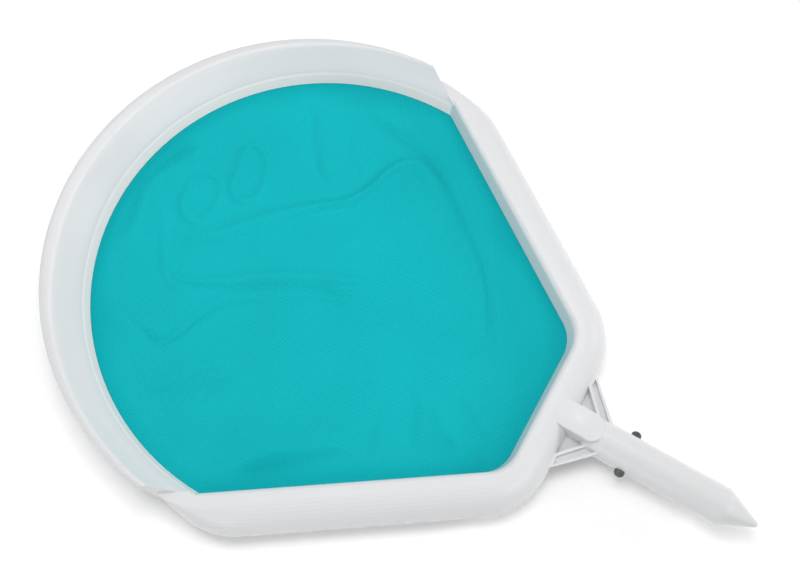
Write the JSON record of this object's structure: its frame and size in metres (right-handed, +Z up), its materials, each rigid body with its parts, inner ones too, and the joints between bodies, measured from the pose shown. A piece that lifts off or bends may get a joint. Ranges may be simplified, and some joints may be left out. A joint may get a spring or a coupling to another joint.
{
  "type": "leaf skimmer net",
  "caption": "Flat leaf skimmer head for pools: fine mesh in a white frame with a raised scoop lip, and a sprung spigot for a telescopic pole.",
  "frame": {"origin": "centre of the whole head's footprint, on the face it rests on", "axes": "+X along the handle axis towards the spigot's tip, +Y across the head to the left, +Z up, the side the scoop lip stands on"},
  "size_m": [0.569, 0.4034, 0.0476],
  "materials": {
    "frame_plastic": "white injection-moulded plastic, glossy, slightly cool",
    "spigot_plastic": "white injection-moulded plastic, glossy",
    "net": "fine turquoise polyester mesh",
    "binding": "folded turquoise edge tape",
    "button": "dark grey moulded plastic",
    "spring_steel": "stainless spring strip",
    "screw_steel": "stainless self-tapping screw"
  },
  "bodies": {
    "head": {"frame_upper": "frame_plastic", "frame_lower": "frame_plastic", "net_mesh": "net", "net_binding": "binding", "spigot": "spigot_plastic", "spring_clip": "spring_steel", "rim_screws": "screw_steel", "neck_screws": "screw_steel"},
    "button_left": {"button_left": "button"},
    "button_right": {"button_right": "button"}
  },
  "joints": [
    {"name": "button_left_press", "type": "slide", "parent": "head", "child": "button_left", "axis": [0, -1, 0], "range_m": [0, 0.005], "stiffness_N_per_m": 600, "springref_m": -0.002, "deforming": ["spring_clip"]},
    {"name": "button_right_press", "type": "slide", "parent": "head", "child": "button_right", "axis": [0, 1, 0], "range_m": [0, 0.005], "stiffness_N_per_m": 600, "springref_m": -0.002, "deforming": ["spring_clip"]}
  ]
}
